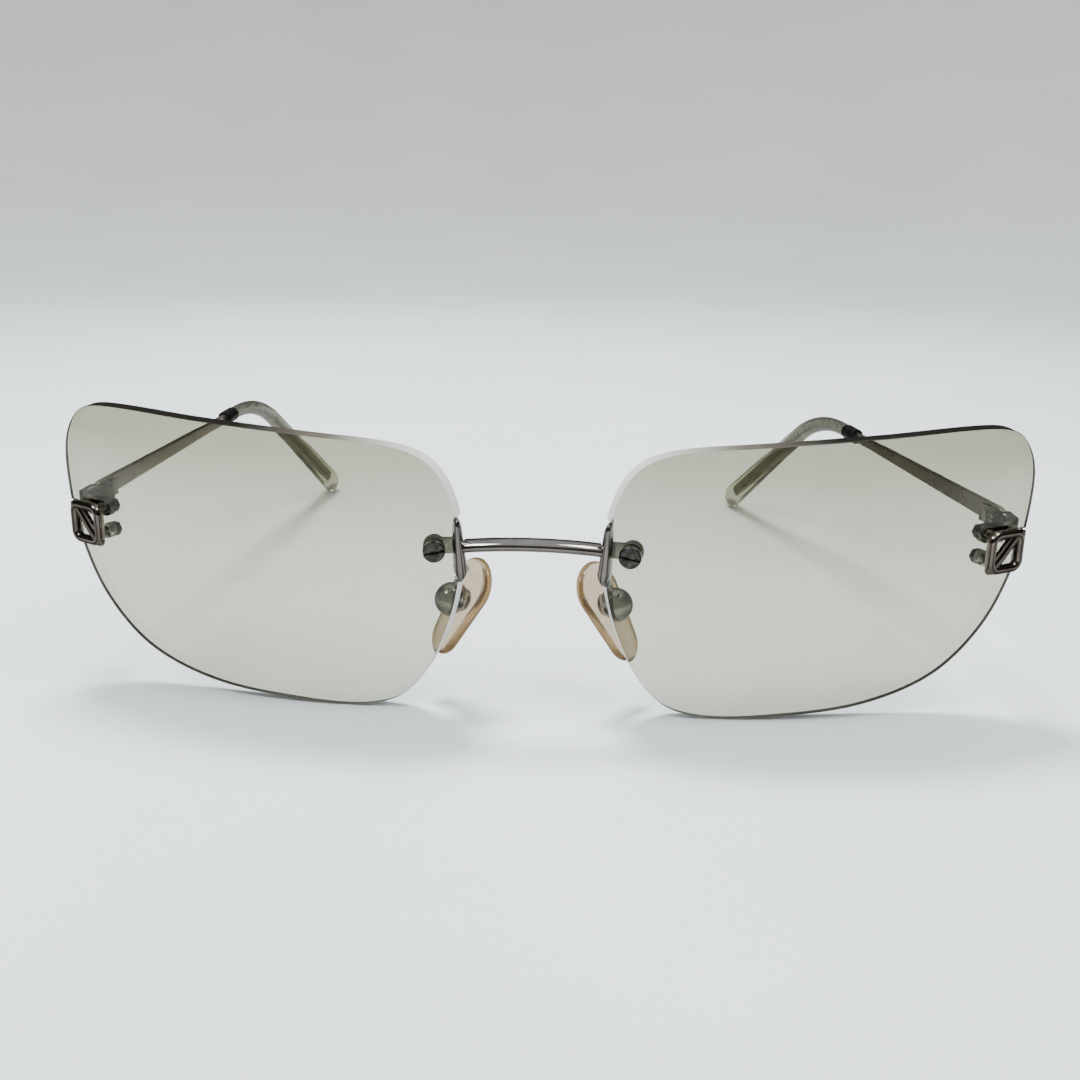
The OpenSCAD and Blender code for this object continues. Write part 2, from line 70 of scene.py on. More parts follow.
ORNAMENT_AT, ORNAMENT_W, ORNAMENT_T = (27.6, 3), 6.6, 1.5
POST_X, POST_Z = -1.4, (-1.5, 2.2)
HOOK_Z, HOOK_W = (-1.7, 2.1), 1.2
BRIDGE_R, BRIDGE_H, BRIDGE_D = 34, 2.5, 1.7
BRIDGE_Y, BRIDGE_Z, BRIDGE_TILT = 1.25, 26.9, 36
HINGE_BACK = 20.8
TEMPLE_OPEN = 6
BAR_RISE, TIP_DROP = 3, 33
BEND_START, BEND_R = 53, 33
BAR_H, BAR_END_H, BAR_T = 3, 1.6, 0.9
LEAF_OUT = 1.45
CORE_W = 1.6
FERRULE_FROM, FERRULE_L, FERRULE_R = 47.5, 4, 1.35
TIP_START_W, TIP_END_W, TIP_END_T = 2.4, 5.6, 3.6
PAD_LEAN, PAD_SPLAY = 27, 35
PAD_BACK, PAD_T, PAD_L, PAD_W = 2, 2.3, 16.2, 8.4
BOX_R, BOX_RIM = 2.5, 1.3
ARM_R = 0.55

HINGE = [value / MM for value in JOINTS["left_temple_fold"]["pos_m"]]
PAD_BOX = [value / MM for value in JOINTS["left_pad_rock"]["pos_m"]]
FRONT_Y = HINGE[1] - HINGE_BACK


# ---- placing ----------------------------------------------------------------------------

def turn(axis, degrees):
    return Matrix.Rotation(math.radians(degrees), 4, axis)


def shift(x, y, z):
    return Matrix.Translation((x, y, z))


def mirror_for(side):
    return Matrix.Identity(4) if side == "left" else Matrix.Diagonal((-1, 1, 1, 1))


def lens_frame():
    return shift(LENS_X, LENS_Y + FRONT_Y, LENS_Z) @ turn("Z", LENS_WRAP) @ turn("X", LENS_LEAN)


def at_lens(place):
    """A place on the lens's front, with +Y into the lens and +X towards the temple."""
    tilt = math.asin(place[1] / LENS_R)
    swing = math.asin(place[0] / (LENS_R * math.cos(tilt)))
    centre = shift(0, LENS_R, 0)
    aim = turn("Z", math.degrees(swing)) @ turn("X", -math.degrees(tilt))
    return lens_frame() @ centre @ aim @ centre.inverted()


def pad_frame():
    """The pad box, with +X along the rocking axis, +Y towards the nose, +Z along the pad."""
    return shift(*PAD_BOX) @ turn("Y", -PAD_LEAN) @ turn("Z", 90 - PAD_SPLAY)


def temple_frame(side):
    """The hinge axis, with +Y along the temple as it stands at rest."""
    fold = TEMPLE_OPEN - JOINTS[f"{side}_temple_fold"]["range_deg"][0]
    return shift(HINGE[0], HINGE[1], 0) @ turn("Z", fold)


# ---- mesh building ----------------------------------------------------------------------

def band(bm, low, high):
    """The faces between two rows of points that each go round."""
    for i in range(len(low)):
        j = (i + 1) % len(low)
        bm.faces.new((low[i], low[j], high[j], high[i]))


def skin(rings, start_pole=None, end_pole=None):
    """A closed skin over rings of points. Each end closes on a pole, or flat without one."""
    bm = bmesh.new()
    rows = [[bm.verts.new(point) for point in ring] for ring in rings]
    count = len(rows[0])
    for low, high in zip(rows, rows[1:]):
        band(bm, low, high)
    for row, pole in ((rows[0], start_pole), (rows[-1], end_pole)):
        if pole is None:
            bm.faces.new(row)
            continue
        tip = bm.verts.new(pole)
        for i in range(count):
            bm.faces.new((row[i], row[(i + 1) % count], tip))
    bmesh.ops.recalc_face_normals(bm, faces=bm.faces)
    return bm


def lathe(profile, sides=64):
    """Turns a profile of (radius, depth) points about the Y axis."""
    angles = [math.tau * i / sides for i in range(sides)]
    rings = [
        [(radius * math.cos(a), depth, radius * math.sin(a)) for a in angles]
        for radius, depth in profile if radius > 0
    ]
    start = (0, profile[0][1], 0) if profile[0][0] == 0 else None
    end = (0, profile[-1][1], 0) if profile[-1][0] == 0 else None
    return skin(rings, start, end)


def arc(centre, radius, start, end, steps):
    """Points (radius, depth) of an arc, for a profile's rounded corner; angles in degrees."""
    points = []
    for i in range(steps + 1):
        a = math.radians(start + (end - start) * i / steps)
        points.append((centre[0] + radius * math.cos(a), centre[1] + radius * math.sin(a)))
    return points


def rod(radius, start, end, sides=48):
    return lathe([(0, start), (radius, start), (radius, end), (0, end)], sides)


def block(low, high):
    bm = bmesh.new()
    bmesh.ops.create_cube(bm, size=1)
    middle = [(a + b) / 2 for a, b in zip(low, high)]
    size = [b - a for a, b in zip(low, high)]
    bm.transform(shift(*middle) @ Matrix.Diagonal((*size, 1)))
    return bm


def round_edges(bm, width, steps, over=30):
    """Rounds each edge that is sharper than an angle in degrees."""
    sharp = [
        edge for edge in bm.edges
        if len(edge.link_faces) == 2 and edge.calc_face_angle(0) > math.radians(over)
    ]
    bmesh.ops.bevel(
        bm, geom=sharp, offset=width, offset_type="OFFSET", segments=steps, profile=0.5,
        affect="EDGES", clamp_overlap=True,
    )
    return bm


def plate(outline, start, end, rounding):
    """An outline seen from the front, as (x, z) points, between two depths."""
    bm = skin([[(x, depth, z) for x, z in outline] for depth in (start, end)])
    return round_edges(bm, rounding, 3, 50)


def placed(bm, matrix):
    bm.transform(matrix)
    return bm


def combine(base, tools, operation="DIFFERENCE"):
    """The base with the tools cut from it, or joined to it. Uses the meshes up."""
    helpers = []
    for i, bm in enumerate([base, *tools]):
        mesh = bpy.data.meshes.new(f"helper_{i}")
        bm.to_mesh(mesh)
        bm.free()
        helper = bpy.data.objects.new(f"helper_{i}", mesh)
        bpy.context.scene.collection.objects.link(helper)
        helpers.append(helper)
    for tool in helpers[1:]:
        step = helpers[0].modifiers.new("combine", "BOOLEAN")
        step.solver = "EXACT"
        step.operation = operation
        step.object = tool
    graph = bpy.context.evaluated_depsgraph_get()
    result = bpy.data.meshes.new_from_object(helpers[0].evaluated_get(graph))
    made = bmesh.new()
    made.from_mesh(result)
    for helper in helpers:
        mesh = helper.data
        bpy.data.objects.remove(helper)
        bpy.data.meshes.remove(mesh)
    bpy.data.meshes.remove(result)
    return made


def sweep(points, section, up):
    """Rings of a section, as (across, up) pairs, carried along a line of points."""
    rings = []
    for i, point in enumerate(points):
        ahead = points[min(i + 1, len(points) - 1)] - points[max(i - 1, 0)]
        ahead.normalize()
        across = ahead.cross(up).normalized()
        over = across.cross(ahead)
        rings.append([point + across * x + over * z for x, z in section])
    return rings


def rounded_rectangle(width, height, radius, steps=4):
    points = []
    for x, z, start in ((1, 1, 0), (-1, 1, 90), (-1, -1, 180), (1, -1, 270)):
        for i in range(steps + 1):
            a = math.radians(start + 90 * i / steps)
            points.append((
                x * (width / 2 - radius) + radius * math.cos(a),
                z * (height / 2 - radius) + radius * math.sin(a),
            ))
    return points


def oval(width, height, sides, power=1.0):
    """A loop of (x, z) points; a power under 1 makes it squarer."""
    def bulge(value):
        return math.copysign(abs(value) ** power, value)
    angles = [math.tau * i / sides for i in range(sides)]
    return [(width / 2 * bulge(math.cos(a)), height / 2 * bulge(math.sin(a))) for a in angles]


def smooth_loop(points, steps):
    """A closed smooth curve through points, its slope at each set by its two neighbours."""
    count = len(points)
    vectors = [Vector(point) for point in points]

    def chord(i):
        return (vectors[(i + 1) % count] - vectors[i % count]).length

    def tangent(i):
        return (vectors[(i + 1) % count] - vectors[i - 1]) / (chord(i - 1) + chord(i))

    loop = []
    for i in range(count):
        j = (i + 1) % count
        for k in range(steps):
            t = k / steps
            loop.append(
                (2 * t**3 - 3 * t**2 + 1) * vectors[i]
                + (t**3 - 2 * t**2 + t) * chord(i) * tangent(i)
                + (3 * t**2 - 2 * t**3) * vectors[j]
                + (t**3 - t**2) * chord(i) * tangent(j)
            )
    return loop


def piece(name, bm, materials, body, nodes, crease=32):
    """A finished piece that rides on a body and stands for CAD nodes."""
    bm.transform(Matrix.Scale(MM, 4))
    mesh = bpy.data.meshes.new(name)
    bm.to_mesh(mesh)
    bm.free()
    mesh.shade_smooth()
    mesh.set_sharp_from_angle(angle=math.radians(crease))
    for material in materials:
        mesh.materials.append(material)
    obj = bpy.data.objects.new(name, mesh)
    bpy.context.scene.collection.objects.link(obj)
    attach(obj, body)
    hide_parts(*nodes)


def pair(name, bm, place, materials, body, nodes, crease=32):
    """The same piece on both sides, the right one mirrored. place is a matrix or a function."""
    for side in SIDES:
        copy = bm.copy()
        copy.transform(mirror_for(side) @ (place(side) if callable(place) else place))
        if side == "right":
            bmesh.ops.reverse_faces(copy, faces=copy.faces)
        piece(
            f"{name}_{side}", copy, materials, body.format(side=side),
            [f"{node}_{side}" for node in nodes], crease,
        )
    bm.free()


# ---- materials --------------------------------------------------------------------------

def colour_ramp(tree, value, stops):
    """A smooth ramp through (position, grey level or colour) stops."""
    ramp = tree.nodes.new("ShaderNodeValToRGB")
    elements = ramp.color_ramp.elements
    while len(elements) < len(stops):
        elements.new(0.5)
    for element, (position, level) in zip(elements, stops):
        element.position = position
        element.color = (*level, 1) if isinstance(level, tuple) else (level, level, level, 1)
    tree.links.new(value, ramp.inputs["Fac"])
    return ramp.outputs["Color"]


def colour_mix(tree, share, first, second):
    """The first colour where the share is 0 and the second where it is 1."""
    mix = tree.nodes.new("ShaderNodeMix")
    mix.data_type = "RGBA"
    tree.links.new(share, mix.inputs["Factor"])
    tree.links.new(first, mix.inputs["A"])
    tree.links.new(second, mix.inputs["B"])
    return mix.outputs["Result"]


class Surface:
    """A Principled material, with short calls for the nodes that give it its detail."""

    def __init__(self, name, **values):
        self.material = bpy.data.materials.new(name)
        self.material.use_nodes = True
        self.tree = self.material.node_tree
        self.nodes, self.links = self.tree.nodes, self.tree.links
        self.shader = self.nodes["Principled BSDF"]
        for socket, value in values.items():
            self.shader.inputs[socket.replace("_", " ")].default_value = value
        self.where = self.nodes.new("ShaderNodeTexCoord").outputs["Object"]

    def noise(self, scale, detail, stretch=(1, 1, 1), spin=0, rough=0.5):
        """Noise whose scale is in cells for each metre; stretch makes streaks."""
        mapping = self.nodes.new("ShaderNodeMapping")
        mapping.inputs["Scale"].default_value = stretch
        mapping.inputs["Rotation"].default_value = (0, 0, math.radians(spin))
        self.links.new(self.where, mapping.inputs["Vector"])
        noise = self.nodes.new("ShaderNodeTexNoise")
        noise.inputs["Scale"].default_value = scale
        noise.inputs["Detail"].default_value = detail
        noise.inputs["Roughness"].default_value = rough
        self.links.new(mapping.outputs["Vector"], noise.inputs["Vector"])
        return noise.outputs["Fac"]

    def place(self, axis, low, high, mirrored=False, drift=0.0):
        """How far along an axis a point is, from 0 at low to 1 at high, in metres."""
        split = self.nodes.new("ShaderNodeSeparateXYZ")
        self.links.new(self.where, split.inputs["Vector"])
        value = split.outputs[axis]
        if mirrored:
            size = self.nodes.new("ShaderNodeMath")
            size.operation = "ABSOLUTE"
            self.links.new(value, size.inputs[0])
            value = size.outputs[0]
        if drift:
            wander = self.nodes.new("ShaderNodeMath")
            wander.operation = "MULTIPLY_ADD"
            self.links.new(self.noise(120, 4), wander.inputs[0])
            wander.inputs[1].default_value = drift
            self.links.new(value, wander.inputs[2])
            value = wander.outputs[0]
        share = self.nodes.new("ShaderNodeMapRange")
        share.inputs["From Min"].default_value = low
        share.inputs["From Max"].default_value = high
        self.links.new(value, share.inputs["Value"])
        return share.outputs["Result"]

    def ramp(self, value, stops):
        return colour_ramp(self.tree, value, stops)

    def blend(self, share, first, second):
        return colour_mix(self.tree, share, first, second)

    def set(self, socket, value):
        self.links.new(value, self.shader.inputs[socket])

    def bump(self, value, strength, distance):
        """Distance is the height of the relief, in metres."""
        bump = self.nodes.new("ShaderNodeBump")
        bump.inputs["Strength"].default_value = strength
        bump.inputs["Distance"].default_value = distance
        self.links.new(value, bump.inputs["Height"])
        if self.shader.inputs["Normal"].is_linked:
            self.links.new(self.shader.inputs["Normal"].links[0].from_socket, bump.inputs["Normal"])
        self.links.new(bump.outputs["Normal"], self.shader.inputs["Normal"])


def polished_metal(name, dark, light, smooth, worn):
    """Plated metal: faint colour drift, worn dull patches and fine rubbing marks."""
    surface = Surface(name, Metallic=1.0, Specular_Tint=(0.9, 0.9, 0.92, 1))
    surface.set("Base Color", surface.ramp(surface.noise(260, 4), [(0.3, dark), (0.7, light)]))
    surface.set("Roughness", surface.ramp(surface.noise(900, 6), [(0.35, smooth), (0.72, worn)]))
    surface.bump(surface.noise(1500, 4, (1, 0.25, 1)), 0.25, 0.000003)
    return surface.material


def temple_steel():
    """Drawn strip, with a fine grain along the temple and duller patches where it is held."""
    surface = Surface("temple_steel", Metallic=1.0)
    grain = surface.noise(420, 5, (9, 0.5, 9), 0, 0.6)
    surface.set("Base Color", surface.ramp(grain, [
        (0.25, (0.60, 0.59, 0.57)), (0.75, (0.78, 0.768, 0.745)),
    ]))
    surface.set("Roughness", surface.ramp(surface.noise(160, 5), [(0.3, 0.2), (0.75, 0.38)]))
    surface.bump(grain, 0.3, 0.000012)
    return surface.material


def dark_screw():
    """Dark metal, worn paler in patches."""
    surface = Surface("dark_screw", Metallic=1.0)
    wear = surface.noise(1400, 5)
    surface.set("Base Color", surface.ramp(wear, [
        (0.35, (0.05, 0.048, 0.046)), (0.8, (0.22, 0.212, 0.205)),
    ]))
    surface.set("Roughness", surface.ramp(surface.noise(2200, 4), [(0.3, 0.22), (0.7, 0.42)]))
    surface.bump(surface.noise(2600, 4), 0.3, 0.00002)
    return surface.material


def satin_metal(name, dark, light):
    """Nuts, studs, small screws and the core of the tips: a dull, slightly blotchy finish."""
    surface = Surface(name, Metallic=1.0)
    surface.set("Base Color", surface.ramp(surface.noise(700, 4), [(0.3, dark), (0.7, light)]))
    surface.set("Roughness", surface.ramp(surface.noise(1300, 5), [(0.3, 0.24), (0.7, 0.42)]))
    surface.bump(surface.noise(3000, 3), 0.3, 0.00001)
    return surface.material


def clear_plastic(name, tint, deep, smooth, hazy, ior, through=1.0):
    """Tinted see-through plastic: the tint drifts a little, and haze and scuffs roughen it."""
    surface = Surface(name, Transmission_Weight=through, IOR=ior)
    surface.set("Base Color", surface.ramp(surface.noise(90, 3), [(0.3, deep), (0.7, tint)]))
    surface.set("Roughness", surface.ramp(surface.noise(420, 6), [(0.42, smooth), (0.75, hazy)]))
    surface.bump(surface.noise(600, 2), 0.12, 0.00001)
    return surface.material


def lens_tint():
    """Olive-grey tint that is darker towards the top, with faint smears that catch the light."""
    surface = Surface("lens_tint", Transmission_Weight=1.0, IOR=1.5, Specular_IOR_Level=0.3)
    low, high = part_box("lens_left")[0].z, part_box("lens_left")[1].z
    height = surface.place("Z", low, high, drift=0.002)
    # darker towards the top
    surface.set("Base Color", surface.ramp(height, [
        (0.1, (0.54, 0.54, 0.455)), (0.55, (0.49, 0.49, 0.40)), (0.95, (0.33, 0.318, 0.235)),
    ]))
    smears = surface.noise(55, 6, (1, 1, 2.2), 20)
    surface.set("Roughness", surface.ramp(smears, [(0.55, 0.0), (0.85, 0.035)]))
    return surface.material


def lens_edge_painted_shade():
    """Ground lens edge with its light and shade painted in: whitish by the nose, grey below, and a
    painted shade that is nearly black at the upper temples.
    """
    surface = Surface("lens_edge_painted_shade", Transmission_Weight=0.1, IOR=1.5, Specular_IOR_Level=0.15)
    outwards = surface.place("X", 0.010, 0.066, mirrored=True, drift=0.004)
    # painted light and shade along the edge: whitish by the nose, shaded grey below and a painted black
    # shade above, towards the temples
    by_nose = [(0.0, (0.80, 0.81, 0.79)), (0.16, (0.50, 0.50, 0.47))]
    grey = [(0.36, (0.24, 0.23, 0.21)), (0.60, (0.09, 0.085, 0.077))]
    black = [(0.36, (0.10, 0.09, 0.075)), (0.60, (0.006, 0.005, 0.004))]
    lower = surface.ramp(outwards, by_nose + grey)
    upper = surface.ramp(outwards, by_nose + black)
    # painted shade: the upper part of the edge is made darker than the lower
    surface.set("Base Color", surface.blend(surface.place("Z", 0.022, 0.036), lower, upper))
    surface.set("Roughness", surface.ramp(surface.noise(400, 4), [(0.3, 0.34), (0.7, 0.5)]))
    surface.bump(surface.noise(900, 3), 0.1, 0.000004)
    return surface.material


def black_collar():
    """Glossy black with faint scuffs."""
    surface = Surface("black_collar", Specular_IOR_Level=0.14)
    surface.set("Base Color", surface.ramp(surface.noise(800, 4), [
        (0.3, (0.003, 0.003, 0.003)), (0.8, (0.009, 0.0088, 0.0085)),
    ]))
    surface.set("Roughness", surface.ramp(surface.noise(1500, 5), [(0.3, 0.18), (0.75, 0.34)]))
    surface.bump(surface.noise(2000, 3), 0.2, 0.00001)
    return surface.material


def pale_ground(name, low, high=None):
    """Pale matt paper between two tones; high is the pair of tones it fades to higher up."""
    surface = Surface(name, Specular_IOR_Level=0.2)
    drift = surface.noise(9, 4)
    colour = surface.ramp(drift, list(zip((0.3, 0.7), low)))
    if high:
        above = surface.ramp(drift, list(zip((0.3, 0.7), high)))
        colour = surface.blend(surface.place("Z", 0.0, 0.22), colour, above)
    surface.set("Base Color", colour)
    surface.set("Roughness", surface.ramp(surface.noise(30, 4), [(0.3, 0.8), (0.7, 0.95)]))
    surface.bump(surface.noise(900, 4), 0.3, 0.0002)
    return surface.material


CHROME = polished_metal("chrome", (0.25, 0.24, 0.23), (0.37, 0.358, 0.345), 0.05, 0.14)
BALL_CHROME = polished_metal("ball_chrome", (0.30, 0.292, 0.28), (0.42, 0.41, 0.395), 0.02, 0.07)
DARK_CHROME = polished_metal("dark_chrome", (0.14, 0.12, 0.104), (0.27, 0.24, 0.215), 0.04, 0.12)
HINGE_METAL = polished_metal("hinge_metal", (0.19, 0.185, 0.18), (0.31, 0.304, 0.296), 0.1, 0.26)
STEEL = temple_steel()
CORE = satin_metal("core_metal", (0.18, 0.175, 0.15), (0.29, 0.283, 0.25))
SCREW = dark_screw()
NUT = satin_metal("nut_metal", (0.18, 0.18, 0.181), (0.28, 0.28, 0.281))
SMALL_SCREW = satin_metal("small_screw_metal", (0.22, 0.22, 0.22), (0.36, 0.36, 0.36))
STUD = satin_metal("stud_metal", (0.28, 0.27, 0.26), (0.42, 0.41, 0.39))
WASHER = clear_plastic(
    "washer_plastic", (0.86, 0.87, 0.86), (0.78, 0.79, 0.78), 0.12, 0.3, 1.45, 0.8,
)
SLEEVE = clear_plastic("sleeve_plastic", (0.93, 0.94, 0.93), (0.86, 0.87, 0.86), 0.08, 0.2, 1.45)
PAD = clear_plastic(
    "pad_plastic", (0.62, 0.50, 0.365), (0.54, 0.425, 0.30), 0.05, 0.16, 1.42, 0.82,
)
PAD_RIM = clear_plastic(
    "pad_rim_plastic", (0.42, 0.27, 0.13), (0.30, 0.18, 0.075), 0.08, 0.2, 1.42, 0.85,
)
TIP = clear_plastic(
    "tip_plastic", (0.64, 0.63, 0.54), (0.55, 0.54, 0.45), 0.05, 0.16, 1.47, 0.95,
)
LENS = lens_tint()
LENS_EDGE_PAINTED_SHADE = lens_edge_painted_shade()
COLLAR = black_collar()


# ---- lenses -----------------------------------------------------------------------------

def lens():
    """A drilled, slotted shell. Its outline is a hair inside the CAD one, to stay in its box."""
    chamfer, inset = 0.14, 0.012
    rings_across, points_between = 18, 10
    screw_hole_r, post_hole_r, past_face = 0.95, 0.75, 1
    notch_gap, hook_gap, hook_bite = 0.2, 0.05, 0.35
    hook_front, hook_back, hook_past, still_face = -0.6, 1.25, 3, 0.9
    outline = [
        point * (1 - inset / point.length) for point in smooth_loop(LENS_POINTS, points_between)
    ]

    def depth(u, v, radius):
        return LENS_R - math.sqrt(radius**2 - u**2 - v**2)

    def face_ring(share, radius):
        ring = []
        for point in outline:
            u, v = point * share * (1 - chamfer / point.length)
            ring.append((u, depth(u, v, radius), v))
        return ring

    back_r = LENS_R - LENS_T
    shares = [(k + 1) / rings_across for k in range(rings_across)]
    rings = [face_ring(share, LENS_R) for share in shares]
    rings.append([(u, depth(u, v, LENS_R) + chamfer, v) for u, v in outline])
    rings.append([(u, depth(u, v, back_r) - chamfer, v) for u, v in outline])
    rings += [face_ring(share, back_r) for share in reversed(shares)]
    body = placed(skin(rings, (0, 0, 0), (0, LENS_T, 0)), lens_frame())
    notch_up = CLAW_H / 2 + notch_gap
    cutters = [
        placed(rod(screw_hole_r, -past_face, LENS_T + past_face), at_lens(SCREW_AT)),
        placed(block((-3, -2, -notch_up), (0, 4, notch_up)), at_lens(CLAW_AT)),
    ]
    for z in POST_Z:
        hole = rod(post_hole_r, -past_face, LENS_T + past_face)
        cutters.append(placed(hole, at_lens(ORNAMENT_AT) @ shift(POST_X, 0, z)))
    hook_x = ORNAMENT_W / 2 - hook_bite
    for z in HOOK_Z:
        low = (hook_x, hook_front, z - HOOK_W / 2 - hook_gap)
        high = (hook_x + hook_past, hook_back, z + HOOK_W / 2 + hook_gap)
        cutters.append(placed(block(low, high), at_lens(ORNAMENT_AT)))
    body = combine(body, cutters)
    centre = lens_frame() @ Vector((0, LENS_R, 0))
    for face in body.faces:
        outward = (face.calc_center_median() - centre).normalized()
        if abs(outward.dot(face.normal)) < still_face:
            face.material_index = 1
    pair("lens", body, Matrix.Identity(4), [LENS, LENS_EDGE_PAINTED_SHADE], "front", ["lens"], 25)


# ---- bridge -----------------------------------------------------------------------------

def bridge_bar():
    """A rounded bar swept along its arc, with a plain shallow panel sunk in its upper front."""
    reach = 9.55
    span = math.asin(reach / BRIDGE_R)
    steps, sides = 150, 72
    panel_reach, panel_depth, end_fade = 4.7, 0.1, 0.4
    panel_low, panel_high, side_fade = 20, 66, 7
    section = oval(BRIDGE_D, BRIDGE_H, sides)
    bar_frame = (
        shift(0, BRIDGE_Y + FRONT_Y, BRIDGE_Z) @ turn("X", -BRIDGE_TILT) @ shift(0, BRIDGE_R, 0)
    )
    tilt = math.radians(BRIDGE_TILT)

    def step_up(value, low, high):
        share = min(max((value - low) / (high - low), 0), 1)
        return share * share * (3 - 2 * share)

    def sunk(x, z, along):
        angle = math.degrees(math.atan2(z, x))
        above = step_up(angle, panel_low, panel_low + side_fade)
        below = step_up(-angle, -panel_high, side_fade - panel_high)
        return panel_depth * above * below * step_up(-along, -panel_reach, end_fade - panel_reach)

    rings = []
    for i in range(steps + 1):
        a = span * (2 * i / steps - 1)
        ring = []
        for x, z in section:
            inwards = 1 - sunk(x, z, abs(a) * BRIDGE_R) / math.hypot(x, z)
            out = BRIDGE_R + inwards * (x * math.cos(tilt) - z * math.sin(tilt))
            up = inwards * (x * math.sin(tilt) + z * math.cos(tilt))
            ring.append(bar_frame @ Vector((out * math.sin(a), -out * math.cos(a), up)))
        rings.append(ring)
    piece("bridge_bar_piece", skin(rings), [CHROME], "front", ["bridge_bar"], 40)


def claw_strap():
    """A polished strap round the nasal edge of the lens, crowned in front, pointed at its foot."""
    half = CLAW_H / 2
    heights = (half, half - 0.25, half - 1.2, 0.8, 1.4 - half, 0.5 - half, -half)
    outer = list(zip(heights, (-0.5, -0.85, -1.12, -1.4, -1.85, -1.55, -0.9)))
    inner = list(zip(heights, (-0.3, 0.05, 0.22, 0.28, 0.2, -0.25, -0.8)))
    steps, sides, squareness = 70, 48, 0.78
    crown, soft_reach, taps = 0.18, 0.35, 3
    end_power, end_least, end_width, end_depth = 10, 0.01, 0.35, 0.62

    def edge_at(points, z):
        for (z1, x1), (z2, x2) in zip(points, points[1:]):
            if z2 <= z <= z1:
                return x1 + (x2 - x1) * (z1 - z) / (z1 - z2)
        return points[-1][1]

    def softened(points, z):
        near = [min(max(z + soft_reach * k / taps, -half), half) for k in range(-taps, taps + 1)]
        return sum(edge_at(points, height) for height in near) / len(near)

    front, back = -CLAW_LIP - crown, LENS_T + CLAW_LIP
    rings = []
    for i in range(steps + 1):
        share = 0.5 - 0.5 * math.cos(math.pi * i / steps)
        z = half - CLAW_H * share
        x_low, x_high = softened(outer, z), softened(inner, z)
        close = math.sqrt(max(1 - (2 * share - 1) ** end_power, end_least))
        middle, width = (x_low + x_high) / 2, (x_high - x_low) * (end_width + (1 - end_width) * close)
        depth_middle, depth = (front + back) / 2, (back - front) * (end_depth + (1 - end_depth) * close)
        section = oval(width, depth, sides, squareness)
        rings.append([(middle + x, depth_middle + y, z) for x, y in section])
    return skin(rings)


def bridge_claw():
    """The strap with an ear behind the lens that ends in a disc about the screw."""
    edge_r, bore_gap, sunk = 0.14, 0.02, 0.01
    ear_l, ear_h, ear_corner, ear_in = 3.8, 2.3, 0.15, 2
    strap = placed(claw_strap(), at_lens(CLAW_AT))
    disc = lathe([
        (0, EAR_Y), *arc((SCREW_HEAD_R - edge_r, EAR_Y + edge_r), edge_r, -90, 0, 3),
        *arc((SCREW_HEAD_R - edge_r, NUT_Y - edge_r), edge_r, 0, 90, 3), (0, NUT_Y),
    ])
    outline = rounded_rectangle(ear_l, ear_h, ear_corner)
    ear = plate(outline, EAR_Y + sunk, NUT_Y - sunk, edge_r)
    ear.transform(shift(-ear_in, 0, 0))
    bore = rod(SCREW_R + bore_gap, -1, NUT_Y + 1)
    made = combine(strap, [placed(tool, at_lens(SCREW_AT)) for tool in (disc, ear)], "UNION")
    made = combine(made, [placed(bore, at_lens(SCREW_AT))])
    pair(
        "bridge_claw", made, Matrix.Identity(4), [CHROME], "front", ["bridge_claw"],
        40,
    )


def bridge_screw():
    """Slotted cheese head with a rolled rim, and a shank that ends in the nut."""
    head_r, head_t, slot_w, slot_deep, slot_turn = SCREW_HEAD_R, 0.95, 0.52, 0.5, 9
    flat_r, rim_r, foot_r, edge_r = SCREW_HEAD_R - 0.34, 0.26, 0.08, 0.04
    top, end = -WASHER_T - head_t, NUT_Y + 1.4
    body = lathe([
        (0, top), (flat_r, top), *arc((head_r - rim_r, top + rim_r), rim_r, -80, 0, 5),
        *arc((head_r - foot_r, -WASHER_T - foot_r), foot_r, 0, 90, 2), (SCREW_R, -WASHER_T),
        (SCREW_R, end), (0, end),
    ], 72)
    slot = block((-head_r - 1, top - 1, -slot_w / 2), (head_r + 1, top + slot_deep, slot_w / 2))
    body = combine(body, [placed(slot, turn("Y", slot_turn))])
    round_edges(body, edge_r, 2, 50)
    pair("bridge_screw", body, at_lens(SCREW_AT), [SCREW], "front", ["bridge_screw"])


def bridge_nut():
    """A round nut with a collar at its foot and a domed end."""
    bore_r, collar_r, dome_r = SCREW_R + 0.02, 1.27, 1.13
    foot, collar_top, dome_foot, dome_at = NUT_Y + 0.01, NUT_Y + 0.28, NUT_Y + 0.42, NUT_Y + 1.2
    dome = arc((0, dome_at), dome_r, 0, 88, 10)
    body = lathe([
        (0, foot), (bore_r, foot), (collar_r, foot), (collar_r, collar_top), (dome_r, dome_foot),
        (dome_r, dome_at - 0.1), *dome, (0, dome[-1][1]),
    ])
    pair("bridge_nut", body, at_lens(SCREW_AT), [NUT], "front", ["bridge_nut"])


# ---- nose pads --------------------------------------------------------------------------

def pad_arm():
    """A wire that leaves the claw's foot, turns in one smooth bend and runs down to the box."""
    bend, sunk, sides = 1.4, 0.3, 28
    start_steps, bend_steps, end_steps = 4, 12, 6
    foot = Vector((9.7, 3.9, 22.2)) + Vector((0, FRONT_Y, 0))
    elbow = Vector((10.1, 6.3, 22.0)) + Vector((0, FRONT_Y, 0))
    end = Vector(PAD_BOX) + (elbow - Vector(PAD_BOX)).normalized() * (BOX_R - sunk)
    start = foot + (foot - elbow).normalized() * sunk
    before = elbow + (start - elbow).normalized() * bend
    after = elbow + (end - elbow).normalized() * bend
    line = [start.lerp(before, i / start_steps) for i in range(start_steps)]
    for i in range(bend_steps + 1):
        t = i / bend_steps
        line.append(before * (1 - t) ** 2 + elbow * 2 * t * (1 - t) + after * t**2)
    line += [after.lerp(end, (i + 1) / end_steps) for i in range(end_steps)]
    rings = sweep(line, oval(2 * ARM_R, 2 * ARM_R, sides), Vector((1, 0, 0)))
    pair("pad_arm", skin(rings), Matrix.Identity(4), [CHROME], "front", ["pad_arm"])


